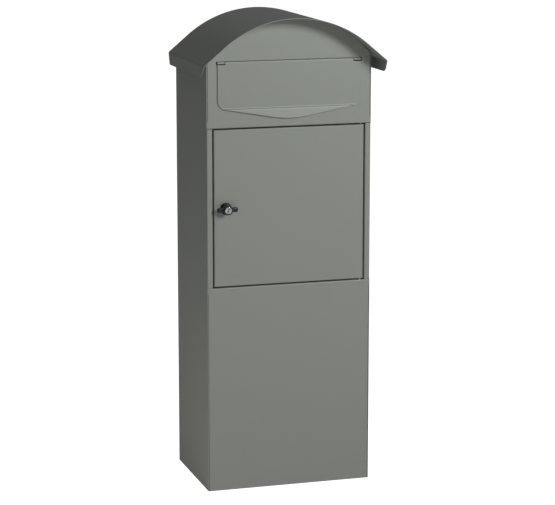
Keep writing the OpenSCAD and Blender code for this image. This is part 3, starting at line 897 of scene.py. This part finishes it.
@dataclass
class LetterFlap:
    """The lift-up flap: curled hinge barrel, flat face, stepped crease and leaning finger lip."""

    thickness: float = 1.5 * MM
    corner: float = 20 * MM
    apex: float = 250 * MM
    slope: float = math.radians(10)
    lean: float = math.radians(4.5)
    step: float = 2.4 * MM
    step_drop: float = 3.2 * MM
    bend: float = 1.6 * MM
    notch_drop: float = 4.6 * MM
    curl_turn: float = 285.0
    curl_steps: int = 30
    face_rows: int = 60
    tip_rows: int = 23
    tip_first: float = 0.05 * MM
    tip_growth: float = 1.35
    bend_steps: int = 6
    crease_rise: float = 46 * MM
    barrel_play: float = 1.2 * MM
    edge: float = 0.45 * MM
    columns: int = 120

    def outline(self, half: float, tip: float, z: float) -> float:
        """Half width of the flap at a height.

        Args:
            half: Half width of the flap.
            tip: Height of the lip's lowest point.
            z: The height.

        Returns:
            The half width there.
        """
        tangent = math.tan(self.slope)
        apex_rise = self.apex * (1 - math.cos(self.slope))
        vertex = tip - self.apex * (1 / math.cos(self.slope) - 1)
        if z <= tip + apex_rise:
            reach = self.apex - (z - tip)
            return math.sqrt(max(0.0, self.apex**2 - reach**2))
        straight = (z - vertex) / tangent
        turn = math.pi / 2 - self.slope
        arc_z = vertex + half * tangent + self.corner * math.tan(turn / 2)
        if z >= arc_z:
            return half
        rise = arc_z - z
        arc = half - self.corner + math.sqrt(max(0.0, self.corner**2 - rise**2))
        return min(straight, arc)

    def profile(self, y: float, z_top: float, crease: float, low: float) -> list[tuple[float, float]]:
        """Front line of the flap in side view, from the top down, with rounded bends.

        Args:
            y: Front plane of the flat face.
            z_top: Height where the line starts.
            crease: Height of the crease.
            low: Lowest height.

        Returns:
            (y, z) points.
        """
        knots = [
            Vector((y, z_top)),
            Vector((y, crease)),
            Vector((y - self.step, crease - self.step_drop)),
            Vector((y - self.step - (crease - self.step_drop - low) * math.tan(self.lean), low)),
        ]
        points = [knots[0]]
        for before, here, after in zip(knots, knots[1:], knots[2:]):
            into, out = (before - here).normalized(), (after - here).normalized()
            room = min((before - here).length, (after - here).length)
            reach = min(self.bend * 0.75, room * 0.45)
            start, end = here + into * reach, here + out * reach
            for i in range(self.bend_steps + 1):
                t = i / self.bend_steps
                points.append(start * (1 - t) ** 2 + here * 2 * t * (1 - t) + end * t**2)
        points.append(knots[-1])
        return [(p.x, p.y) for p in points]

    def rows(
        self, axis: Vector, radius: float, half: float, tip: float, crease: float
    ) -> tuple[list[Row], int]:
        """All rows of the flap's sheet, from the end of the curl to the tip of the lip.

        Args:
            axis: Centre of the hinge.
            radius: Outer radius of the curled barrel.
            half: Half width of the flap.
            tip: Height of the lip's lowest point.
            crease: Height of the crease.

        Returns:
            The rows for Shapes.folded_sheet and the number of rows that curl.
        """
        made = []
        for i in range(self.curl_steps):
            angle = math.radians(180 - self.curl_turn * (1 - i / self.curl_steps))
            c, s = math.cos(angle), math.sin(angle)
            made.append(Row(axis.y + c * radius, axis.z + s * radius, -c, -s, -half, half))
        made.append(Row(axis.y - radius, axis.z, 1.0, 0.0, -half, half))
        notch = axis.z - self.notch_drop
        made.append(Row(axis.y - radius, notch, 1.0, 0.0, -half, half))
        curled = self.curl_steps + 1
        line = self.profile(axis.y - radius, notch, crease, tip)
        heights = {z for _, z in line[1:-1]}
        span = notch - tip
        heights |= {notch - span * (i / self.face_rows) for i in range(1, self.face_rows)}
        heights |= {tip + self.tip_first * self.tip_growth**i for i in range(self.tip_rows)}
        for z in sorted(heights, reverse=True) + [tip]:
            below = next(i for i in range(1, len(line)) if line[i][1] <= z + 1e-12)
            (y0, z0), (y1, z1) = line[below - 1], line[below]
            t = (z0 - z) / (z0 - z1)
            run = Vector((y1 - y0, z1 - z0)).normalized()
            reach = max(self.outline(half, tip, z), 0.2 * MM)
            made.append(Row(y0 + (y1 - y0) * t, z, -run.y, run.x, -reach, reach))
        return made, curled

    def build(self) -> None:
        """Makes the flap and its hinge rod."""
        low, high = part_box("letter_flap")
        rod_low, rod_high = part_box("flap_hinge_rod")
        axis = (rod_low + rod_high) / 2
        radius = high.z - axis.z
        half = high.x
        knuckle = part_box("right_flap_knuckle")[0].x
        barrel = (knuckle - self.barrel_play) / half / 2
        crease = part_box("upper_fascia")[0].z + self.crease_rise
        rows, curled = self.rows(axis, radius, half, low.z, crease)
        even = {i / self.columns for i in range(self.columns + 1)}
        places = sorted(even | {0.5 - barrel, 0.5 + barrel})
        bm = Shapes.folded_sheet(
            rows, places, self.thickness, lambda x, y, z: (x, y, z),
            lambda row, at: row >= curled or abs(at - 0.5) < barrel, self.edge,
        )
        Piece("letter_flap_sheet", Body.FLAP, COAT, ("letter_flap",)).make(bm, 40.0)
        self.rod(rod_low, rod_high, axis)

    def rod(self, low: Vector, high: Vector, axis: Vector) -> None:
        """Makes the hinge rod with its chamfered ends.

        Args:
            low: Lowest corner of the rod.
            high: Highest corner.
            axis: Its centre.
        """
        radius, length, chamfer = (high.z - low.z) / 2, high.x - low.x, 0.4 * MM
        profile = [
            (0, 0), (0, radius - chamfer), (chamfer, radius),
            (length - chamfer, radius), (length, radius - chamfer), (length, 0),
        ]
        bm = Shapes.lathe(profile, Vector((low.x, axis.y, axis.z)), Vector((1, 0, 0)), 32)
        Piece("flap_hinge_rod_bar", Body.CASE, COAT, ("flap_hinge_rod",)).make(bm)


@dataclass
class DoorLeaf:
    """The folded door tray."""

    edge: float = 0.35 * MM

    def build(self) -> None:
        """Makes the door."""
        soften("door", "tray", Body.DOOR, COAT, self.edge)


@dataclass
class KnobLock:
    """The wing knob, its key cylinder, the escutcheon and the threaded barrel."""

    wing_depth: float = 10.5 * MM
    wing_set_back: float = 3 * MM
    wing_half: float = 5.6 * MM
    wing_waist: float = 0.825 * MM
    wing_flare: float = 0.25 * MM
    wing_thinning: float = 0.18
    wing_sweep: float = 0.6 * MM
    wing_tip: float = 0.14
    wing_trim: float = 0.4 * MM
    section_power: float = 0.55
    stations: int = 44
    facets: int = 28
    hub_round: float = 1.6 * MM
    spindle_r: float = 5.0 * MM
    square_half: float = 3.2 * MM
    keyway: tuple[tuple[float, float, float, float], ...] = (
        (2.7 * MM, 7.2 * MM, 0.0, 0.0),
        (5.2 * MM, 2.3 * MM, 1.25 * MM, 3.3 * MM),
        (5.2 * MM, 2.3 * MM, -1.25 * MM, -3.3 * MM),
    )
    keyway_depth: float = 9 * MM
    plug_round: float = 0.9 * MM
    barrel_r: float = 10 * MM
    barrel_bore: float = 5.05 * MM
    part_edge: float = 0.3 * MM
    bore_gap: float = 0.12 * MM
    voxel: float = 0.28 * MM
    thread_pitch: float = 1.5 * MM
    thread_depth: float = 0.55 * MM

    def wings(self, centre: Vector, span: float, y0: float) -> Mesh:
        """Both wings as one waisted bar of rounded section.

        Args:
            centre: A point on the knob's axis.
            span: Tip to tip width.
            y0: The wings' front plane.

        Returns:
            The bar.
        """
        bm = bmesh.new()
        rings = []
        for i in range(self.stations + 1):
            u = -1 + 2 * i / self.stations
            reach = abs(u)
            past = max(0.0, (reach - 1 + self.wing_tip) / self.wing_tip)
            cap = max(math.sqrt(max(0.0, 1 - past**2.4)), 0.05)
            waist = self.wing_waist * math.sin(min(1.0, reach / 0.75) * math.pi) ** 2
            tall = (self.wing_half - waist + self.wing_flare * reach) * cap
            deep = self.wing_depth / 2 * (1 - self.wing_thinning * reach) * cap
            mid = y0 + self.wing_depth / 2 + self.wing_sweep * reach
            ring = []
            for k in range(self.facets):
                a = math.tau * k / self.facets
                c, s = (math.copysign(abs(v) ** self.section_power, v) for v in (math.cos(a), math.sin(a)))
                ring.append(bm.verts.new((centre.x + u * span / 2, mid + c * deep, centre.z + s * tall)))
            rings.append(ring)
        for one, two in zip(rings, rings[1:]):
            for k in range(self.facets):
                after = (k + 1) % self.facets
                bm.faces.new((one[k], one[after], two[after], two[k]))
        bm.faces.new(rings[0])
        bm.faces.new(list(reversed(rings[-1])))
        bmesh.ops.recalc_face_normals(bm, faces=bm.faces)
        return bm

    def knob(self, centre: Vector) -> None:
        """Makes the cast knob with its spindle.

        Args:
            centre: A point on the knob's axis.
        """
        low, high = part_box("wing_knob")
        hub = (high.z - low.z) / 2
        plug_low, plug_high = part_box("key_cylinder")
        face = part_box("lock_housing")[0].y
        back = face - 0.3 * MM
        start = Vector((centre.x, low.y, centre.z))
        depth = back - low.y
        arc = Shapes.round_corner
        hub_profile = [(0, 0)] + arc((self.hub_round, hub - self.hub_round), 180, 90, self.hub_round)
        hub_profile += [(depth * 0.55, hub - 0.5 * MM)]
        hub_profile += arc((depth - 1.0 * MM, hub - self.hub_round), 90, 0, 1.0 * MM) + [(depth, 0)]
        shapes = [
            Shapes.lathe(hub_profile, start),
            self.wings(centre, high.x - low.x - self.wing_trim, low.y + self.wing_set_back),
        ]
        cast = Shapes.fuse(shapes, self.voxel, 3)
        plug = (plug_high.z - plug_low.z) / 2 + self.bore_gap
        mouth, deep = plug + 0.6 * MM, 16 * MM
        bore_profile = [
            (-2 * MM, 0), (-2 * MM, mouth), (0, mouth), (0.7 * MM, plug), (deep, plug), (deep, 0),
        ]
        bore = Shapes.lathe(bore_profile, start, steps=96)
        bm = Shapes.carve(cast, [bore])
        bm.faces.layers.float.new(EDGE_LAYER)
        wing_tips = [f for f in bm.faces if abs(f.calc_center_median().x - centre.x) > hub + 4 * MM]
        rim = [f for f in bm.faces if f.calc_center_median().y < low.y + 1.2 * MM]
        Shapes.mark_edges(bm, wing_tips + rim)
        Piece("wing_knob_cast", Body.KNOB, BLACK, ("wing_knob",)).make(bm, 40.0)
        self.spindle(centre, back, high.y)

    def spindle(self, centre: Vector, start: float, end: float) -> None:
        """Makes the spindle behind the knob: a round shaft that ends in a square.

        Args:
            centre: A point on the axis.
            start: Where it leaves the knob.
            end: Its rear end.
        """
        square_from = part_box("lock_housing")[1].y + 0.5 * MM
        shaft, radius, chamfer = square_from - start, self.spindle_r, 0.5 * MM
        profile = [
            (-3 * MM, 0), (-3 * MM, radius),
            (shaft - chamfer, radius), (shaft, radius - chamfer), (shaft, 0),
        ]
        bm = Shapes.lathe(profile, Vector((centre.x, start, centre.z)), steps=48)
        Piece("knob_spindle_shaft", Body.KNOB, BLACK).make(bm)
        length, across = end - square_from, 2 * self.square_half
        bm = Shapes.block((centre.x, square_from + length / 2, centre.z), (across, length, across))
        Shapes.round_edges(bm, 0.5 * MM)
        Piece("knob_spindle_square", Body.KNOB, ZINC).make(bm)

    def key_plug(self, centre: Vector) -> None:
        """Makes the key cylinder: dished face, raised rim and a stepped keyway.

        Args:
            centre: A point on the axis.
        """
        low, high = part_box("key_cylinder")
        radius, length = (high.z - low.z) / 2, high.y - low.y
        arc = Shapes.round_corner
        deep, shallow, rim = 0.5 * MM, 0.25 * MM, self.plug_round
        profile = [(deep, 0), (deep, 3.1 * MM), (shallow, 3.4 * MM), (shallow, radius - 1.6 * MM)]
        profile += [(0.0, radius - 1.3 * MM)] + arc((rim, radius - rim), 180, 90, rim)
        profile += [(length - 0.4 * MM, radius), (length, radius - 0.4 * MM), (length, 0)]
        plug = Shapes.lathe(profile, Vector((centre.x, low.y, centre.z)), steps=96)
        mid = low.y + 2.5 * MM
        bm = Shapes.carve(plug, [
            Shapes.block((centre.x + dx, mid, centre.z + dz), (wide, self.keyway_depth, tall))
            for wide, tall, dx, dz in self.keyway
        ])
        bm.faces.layers.float.new(EDGE_LAYER)
        Shapes.mark_edges(bm, [f for f in bm.faces if f.calc_center_median().y < low.y + 0.2 * MM])
        Piece("key_cylinder_plug", Body.KEY_PLUG, NICKEL, ("key_cylinder",)).make(bm, 30.0)

    def housing(self, centre: Vector) -> None:
        """Makes the escutcheon with its threaded barrel.

        Args:
            centre: A point on the axis.
        """
        low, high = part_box("lock_housing")
        radius, length = (high.z - low.z) / 2, high.y - low.y
        door_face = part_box("door")[0].y - low.y
        barrel, bore = self.barrel_r, self.barrel_bore
        arc = Shapes.round_corner
        profile = [(0, bore), (0, radius - 3.4 * MM)]
        profile += arc((1.6 * MM, radius - 3.0 * MM), 180, 115, 1.6 * MM)
        profile += [(door_face - 1.4 * MM, radius - 0.2 * MM)]
        profile += arc((door_face - 0.8 * MM, radius - 0.6 * MM), 110, 0, 0.6 * MM)[:-1]
        profile += [(door_face, radius - 0.9 * MM), (door_face, barrel)]
        along, root = door_face + 2.2 * MM, barrel - self.thread_depth
        while along < length - self.thread_pitch:
            profile += [
                (along, barrel), (along + self.thread_pitch * 0.45, root),
                (along + self.thread_pitch * 0.55, root),
            ]
            along += self.thread_pitch
        profile += [(along, barrel), (length - 0.5 * MM, barrel)]
        profile += [(length, barrel - 0.5 * MM), (length, bore)]
        bm = Shapes.lathe(profile, Vector((centre.x, low.y, centre.z)), steps=96)
        bm.faces.layers.float.new(EDGE_LAYER)
        Shapes.mark_edges(
            bm, [f for f in bm.faces if (f.calc_center_median() - centre).xz.length > radius - 1.5 * MM]
        )
        Piece("lock_escutcheon", Body.DOOR, BLACK, ("lock_housing",)).make(bm, 30.0)

    def build(self) -> None:
        """Makes the whole lock."""
        low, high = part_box("key_cylinder")
        centre = (low + high) / 2
        self.housing(centre)
        self.knob(centre)
        self.key_plug(centre)
        for node, body in (("lock_nut", Body.DOOR), ("lock_cam", Body.KNOB), ("cam_screw", Body.KNOB)):
            soften(node, "plated", body, ZINC, self.part_edge)


@dataclass
class SmallParts:
    """Rivets, studs, nuts, knuckles, pins and rubber dots."""

    rivet_head: float = 3.6 * MM
    rivet_rise: float = 1.1 * MM
    rivet_shank: float = 1.6 * MM
    dome_steps: int = 8
    rounded: dict[str, tuple[Finish, float]] = field(default_factory=lambda: {
        "left_flap_knuckle": (COAT, 0.25 * MM),
        "right_flap_knuckle": (COAT, 0.25 * MM),
        "upper_pivot_pin": (ZINC, 0.25 * MM),
        "lower_pivot_pin": (ZINC, 0.25 * MM),
        "roof_nuts": (ZINC, 0.3 * MM),
        "roof_studs": (ZINC, 0.3 * MM),
        "flap_bumpers": (RUBBER, 0.3 * MM),
        "door_bumpers": (RUBBER, 0.4 * MM),
    })

    def islands(self, node: str) -> list[tuple[Vector, Vector]]:
        """Lowest and highest corner of each loose solid of a node.

        Args:
            node: The CAD node.

        Returns:
            One pair of corners per solid.
        """
        bm = Shapes.from_node(node)
        left = set(bm.verts)
        found = []
        while left:
            pile, group = [left.pop()], []
            while pile:
                vert = pile.pop()
                group.append(vert.co.copy())
                for edge in vert.link_edges:
                    other = edge.other_vert(vert)
                    if other in left:
                        left.discard(other)
                        pile.append(other)
            low = Vector(min(c[k] for c in group) for k in range(3))
            high = Vector(max(c[k] for c in group) for k in range(3))
            found.append((low, high))
        bm.free()
        return sorted(found, key=lambda pair: (pair[0].x, pair[0].z))

    def rivets(self) -> None:
        """Makes the blind rivets, domed outside with the broken stem in a dimple."""
        made = []
        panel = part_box("back_panel")[1].y
        head, rise, shank = self.rivet_head, self.rivet_rise, self.rivet_shank
        blind = shank * 1.4
        for low, high in self.islands("back_panel_rivets"):
            start = Vector(((low.x + high.x) / 2, low.y, (low.z + high.z) / 2))
            out = panel - low.y
            profile = [(0, 0), (0, shank * 1.2), (0.5 * MM, blind), (2.0 * MM, blind), (2.3 * MM, shank)]
            profile += [(out, shank), (out, head - 0.15 * MM), (out + 0.15 * MM, head)]
            for i in range(1, self.dome_steps):
                a = i / self.dome_steps * math.pi / 2
                profile.append((out + rise * math.sin(a), head * math.cos(a * 0.86)))
            profile += [(out + rise * 0.97, 1.15 * MM), (out + rise * 0.45, 1.0 * MM)]
            profile += [(out + rise * 0.5, 0)]
            made.append(Shapes.lathe(profile, start, steps=32))
        whole = Shapes.gather(made)
        Piece("back_panel_rivet_heads", Body.CASE, ZINC, ("back_panel_rivets",)).make(whole, 35.0)

    def build(self) -> None:
        """Makes all the small parts."""
        self.rivets()
        for node, (finish, edge) in self.rounded.items():
            soften(node, "set", Body.CASE, finish, edge)


# ---------- studio ----------


@dataclass(frozen=True)
class Lamp:
    """One soft square light: where it hangs, what it faces, its side in metres and watts."""

    name: str
    at: Point
    target: Point
    size: float
    power: float
    tint: Point


@dataclass
class Studio:
    """Plain pale floor, soft light and the camera."""

    camera_at: Point = (-1.5056, -5.0017, 1.5615)
    yaw: float = 16.892
    pitch: float = 11.051
    lens: float = 142.94
    floor_size: float = 60.0
    floor_glow: float = 0.062
    sky_glow: float = 0.097
    seen_white: float = 1.0
    lamps: tuple[Lamp, ...] = (
        Lamp("key_light", (1.75, -3.65, 2.4), (0.0, 0.0, 0.85), 1.1, 73.5, (0.97, 1.0, 0.985)),
        Lamp("low_fill", (-0.85, -0.1, 0.1), (-0.2, 0.0, 0.05), 0.45, 0.75, (1.0, 0.97, 0.90)),
        Lamp("front_fill", (-0.6, -1.4, 0.1), (-0.1, 0.0, 0.05), 0.6, 0.7, (1.0, 0.98, 0.93)),
        Lamp("roof_fill", (-0.7, 1.2, 3.2), (0.0, 0.0, 0.9), 1.4, 4.4, (1.0, 0.99, 0.96)),
    )

    def backdrop(self, tree: Tree, strength: Socket, glow: float) -> None:
        """Shows a surface as plain white, and lets it light the box only weakly.

        Args:
            tree: The surface's node tree.
            strength: The strength socket of its light.
            glow: Its strength as a light.
        """
        graph = Graph(tree)
        seen = graph.add("ShaderNodeLightPath").outputs["Is Camera Ray"]
        graph.feed(strength, graph.ramp(seen, 0.0, 1.0, glow, self.seen_white))

    def floor(self) -> None:
        """Makes the pale floor."""
        bm = bmesh.new()
        bmesh.ops.create_grid(bm, x_segments=1, y_segments=1, size=self.floor_size / 2)
        ground = Shapes.hang(bm, "studio_floor")
        paper = bpy.data.materials.new("pale_paper")
        paper.use_nodes = True
        shader = paper.node_tree.nodes["Principled BSDF"]
        shader.inputs["Base Color"].default_value = (0.80, 0.80, 0.80, 1.0)
        shader.inputs["Roughness"].default_value = 0.9
        shader.inputs["Specular IOR Level"].default_value = 0.1
        shader.inputs["Emission Color"].default_value = (1.0, 0.99, 0.965, 1.0)
        self.backdrop(paper.node_tree, shader.inputs["Emission Strength"], self.floor_glow)
        ground.data.materials.append(paper)

    def light(self, lamp: Lamp) -> None:
        """Hangs one soft light.

        Args:
            lamp: What hangs where.
        """
        data = bpy.data.lights.new(lamp.name, "AREA")
        data.shape = "SQUARE"
        data.size = lamp.size
        data.energy = lamp.power
        data.color = lamp.tint
        hung = bpy.data.objects.new(lamp.name, data)
        hung.visible_camera = False
        hung.location = lamp.at
        beam = Vector(lamp.target) - Vector(lamp.at)
        hung.rotation_euler = beam.to_track_quat("-Z", "Y").to_euler()
        bpy.context.scene.collection.objects.link(hung)

    def build(self) -> None:
        """Makes floor, sky, lights and camera."""
        self.floor()
        scene = bpy.context.scene
        sky = bpy.data.worlds.new("studio_sky")
        sky.use_nodes = True
        air = sky.node_tree.nodes["Background"]
        air.inputs["Color"].default_value = (0.93, 0.96, 1.0, 1.0)
        self.backdrop(sky.node_tree, air.inputs["Strength"], self.sky_glow)
        scene.world = sky
        for lamp in self.lamps:
            self.light(lamp)
        data = bpy.data.cameras.new("camera")
        data.lens = self.lens
        data.clip_end = 200.0
        camera = bpy.data.objects.new("camera", data)
        camera.location = self.camera_at
        camera.rotation_euler = (math.radians(90.0 - self.pitch), 0.0, math.radians(-self.yaw))
        scene.collection.objects.link(camera)
        scene.camera = camera
        scene.view_settings.view_transform = "Standard"


def main() -> None:
    """Builds every sub-assembly in order, then the studio."""
    logging.basicConfig(level=logging.INFO, format="%(message)s")
    for part in (
        SheetWork(), Canopy(), LetterFlap(), DoorLeaf(), KnobLock(), SmallParts(), Studio(),
    ):
        LOG.info("building %s", type(part).__name__)
        part.build()


if __name__ == "__main__":
    main()
